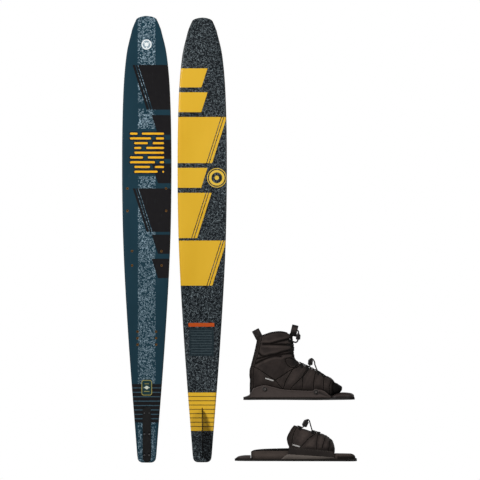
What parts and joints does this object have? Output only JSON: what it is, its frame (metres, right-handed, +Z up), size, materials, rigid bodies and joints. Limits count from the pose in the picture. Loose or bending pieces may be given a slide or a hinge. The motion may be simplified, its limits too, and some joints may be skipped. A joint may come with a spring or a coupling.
{
  "type": "water ski pair",
  "caption": "Upright pair of long tapered slalom water skis, one shown top side and one base side, with a laced front boot and a rear toe plate set beside them.",
  "frame": {"origin": "bottom centre of the whole set", "axes": "+Z up along the skis from tail to tip, +X to the right, +Y away from the viewer; the left ski's top face looks along -Y"},
  "size_m": [0.869, 0.16, 1.651],
  "materials": {
    "core": "foam core with carbon wrap",
    "base": "glossy base laminate",
    "topsheet": "printed satin top skin",
    "insert": "threaded brass",
    "fin_block": "black anodised",
    "fin": "black anodised",
    "screw": "machined",
    "bolt": "black oxide",
    "plate": "moulded, fine grain",
    "rail": "moulded, fine grain",
    "bed": "dense foam wedge",
    "band": "moulded side flange",
    "upper": "coated stretch fabric",
    "lining": "neoprene",
    "foam": "ribbed foam",
    "webbing": "woven webbing",
    "lace": "braided cord",
    "lock": "moulded",
    "tag": "blank moulded tag"
  },
  "bodies": {
    "left_ski": {"left_ski_core": "core", "left_ski_base": "base", "left_ski_topsheet": "topsheet", "left_ski_inserts": "insert", "left_fin_block_screws": "screw"},
    "left_fin_block": {"left_fin_block": "fin_block", "left_fin_set_screws": "screw"},
    "left_fin": {"left_fin": "fin"},
    "right_ski": {"right_ski_core": "core", "right_ski_base": "base", "right_ski_topsheet": "topsheet", "right_ski_inserts": "insert", "right_fin_block_screws": "screw"},
    "right_fin_block": {"right_fin_block": "fin_block", "right_fin_set_screws": "screw"},
    "right_fin": {"right_fin": "fin"},
    "boot_foot": {"boot_plate": "plate", "boot_footbed": "foam", "boot_toe_riser": "plate", "boot_heel_bridge": "plate", "boot_outer_rail": "rail", "boot_inner_rail": "rail", "boot_rail_bolts": "bolt", "boot_rail_screws": "screw", "boot_shell": "upper", "boot_gusset": "lining", "boot_toe_liner": "lining", "boot_lower_lace": "lace", "boot_lower_lace_guides": "webbing", "boot_tag": "tag"},
    "boot_cuff": {"boot_cuff": "upper", "boot_cuff_liner": "lining", "boot_tongue": "lining", "boot_tongue_flap": "lining", "boot_heel_loop": "webbing", "boot_tongue_loop": "webbing", "boot_upper_lace": "lace", "boot_upper_lace_guides": "webbing"},
    "boot_lower_lace_lock": {"boot_lower_lace_lock": "lock"},
    "boot_upper_lace_lock": {"boot_upper_lace_lock": "lock"},
    "toe_plate": {"toe_plate": "plate", "toe_tail_lip": "plate", "toe_plate_footbed": "bed", "toe_plate_heel_pad": "foam", "toe_hood": "upper", "toe_hood_liner": "lining", "toe_hood_outer_flange": "band", "toe_hood_inner_flange": "band", "toe_lace": "lace", "toe_lace_guides": "webbing", "toe_tag": "tag"},
    "toe_lace_lock": {"toe_lace_lock": "lock"}
  },
  "joints": [
    {"name": "right_ski_lift", "type": "slide", "parent": "left_ski", "child": "right_ski", "axis": [0, 0, 1], "range_m": [0, 0.3]},
    {"name": "boot_lift", "type": "slide", "parent": "left_ski", "child": "boot_foot", "axis": [0, 0, 1], "range_m": [0, 0.3]},
    {"name": "toe_plate_lift", "type": "slide", "parent": "left_ski", "child": "toe_plate", "axis": [0, 0, 1], "range_m": [0, 0.05]},
    {"name": "left_fin_block_slide", "type": "slide", "parent": "left_ski", "child": "left_fin_block", "axis": [0, 0, 1], "range_m": [-0.0045, 0.0045]},
    {"name": "left_fin_depth", "type": "slide", "parent": "left_fin_block", "child": "left_fin", "axis": [0, 1, 0], "range_m": [-0.0025, 0.0025]},
    {"name": "right_fin_block_slide", "type": "slide", "parent": "right_ski", "child": "right_fin_block", "axis": [0, 0, 1], "range_m": [-0.0045, 0.0045]},
    {"name": "right_fin_depth", "type": "slide", "parent": "right_fin_block", "child": "right_fin", "axis": [0, -1, 0], "range_m": [-0.0025, 0.0025]},
    {"name": "boot_cuff_flex", "type": "hinge", "parent": "boot_foot", "child": "boot_cuff", "pos_m": [0.1195, 0, 0.329], "axis": [0, 1, 0], "range_deg": [-6, 16], "stiffness_Nm_per_rad": 25},
    {"name": "boot_lower_lace_lock_slide", "type": "slide", "parent": "boot_foot", "child": "boot_lower_lace_lock", "axis": [0.1392, 0, 0.9903], "range_m": [0, 0.02]},
    {"name": "boot_upper_lace_lock_slide", "type": "slide", "parent": "boot_cuff", "child": "boot_upper_lace_lock", "axis": [-0.0698, 0, 0.9976], "range_m": [-0.02, 0]},
    {"name": "toe_lace_lock_slide", "type": "slide", "parent": "toe_plate", "child": "toe_lace_lock", "axis": [0.4384, 0, 0.8988], "range_m": [0, 0.02]}
  ]
}
